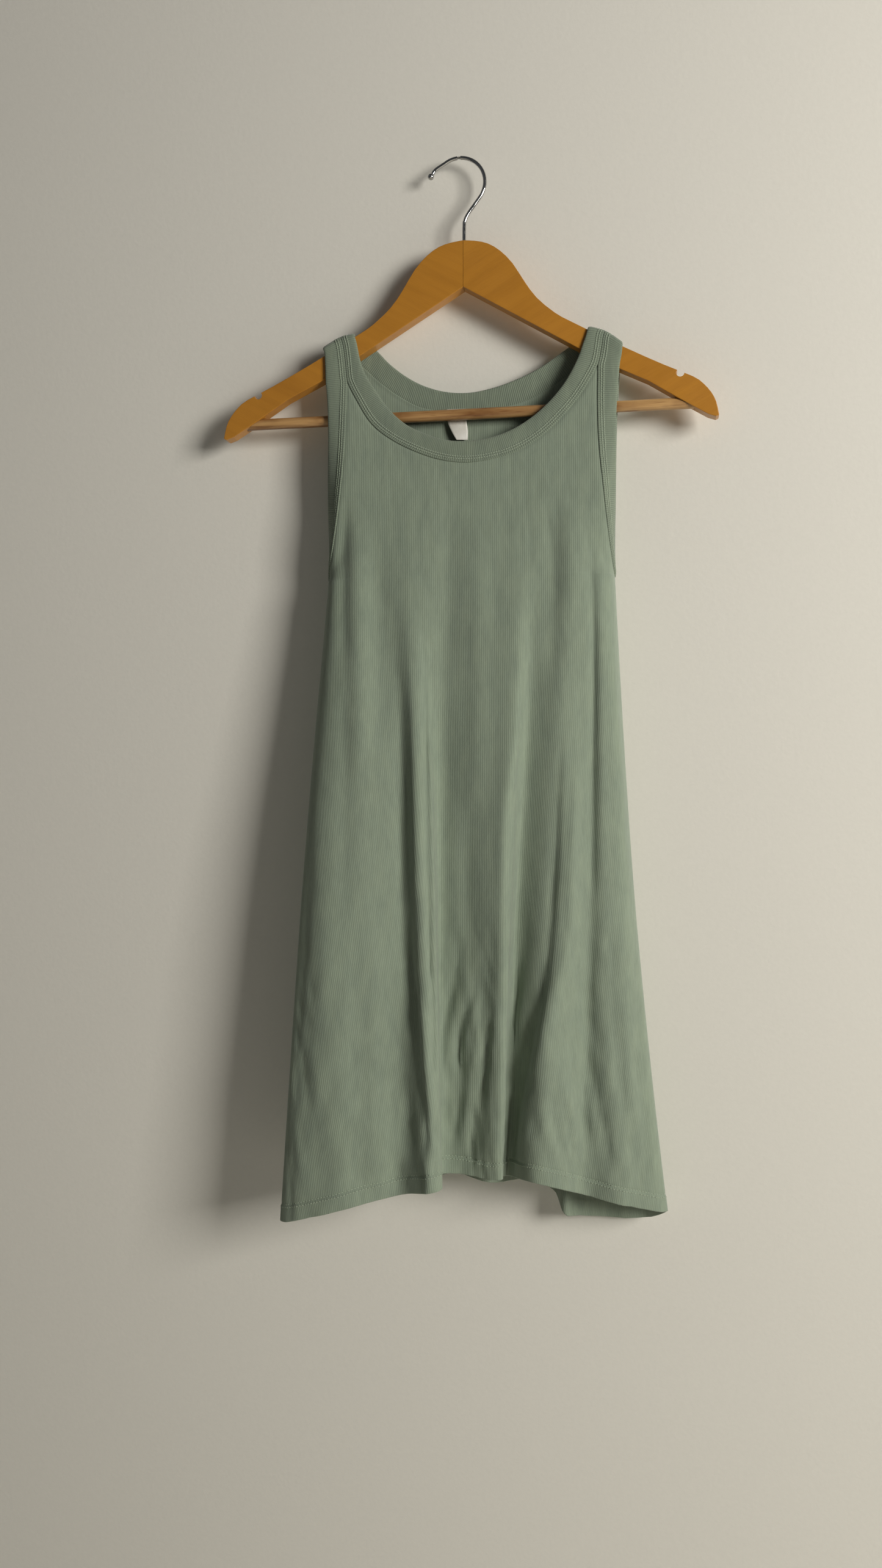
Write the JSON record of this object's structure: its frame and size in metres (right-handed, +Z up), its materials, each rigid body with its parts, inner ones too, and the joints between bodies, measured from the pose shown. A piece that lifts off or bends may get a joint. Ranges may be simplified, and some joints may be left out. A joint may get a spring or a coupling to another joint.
{
  "type": "muscle tank top on a wooden hanger",
  "caption": "Long A-line sleeveless tank of fine ribbed jersey with banded neckline and armholes, hanging softly folded on a flat wooden hanger with a bar and a wire hook.",
  "frame": {"origin": "the inner top of the hook's bend, where the hanger hangs", "axes": "+X along the hanger to the right as seen from the garment's front, +Y towards the garment's back, +Z up"},
  "size_m": [0.4442, 0.1014, 0.9577],
  "materials": {
    "rib_jersey": "fine vertical rib knit, matt",
    "band_jersey": "rib knit running across the band, matt",
    "satin_label": "smooth satin, slight sheen",
    "varnished_wood": "honey varnish, satin gloss",
    "bar_wood": "plain turned wood, satin",
    "chromed_wire": "polished"
  },
  "bodies": {
    "root": {"tank_front": "rib_jersey", "tank_back": "rib_jersey", "neck_band": "band_jersey", "armhole_band_left": "band_jersey", "armhole_band_right": "band_jersey", "neck_label": "satin_label", "hanger_arm_left": "varnished_wood", "hanger_arm_right": "varnished_wood", "hanger_bar": "bar_wood", "hanger_hook": "chromed_wire"}
  },
  "joints": []
}
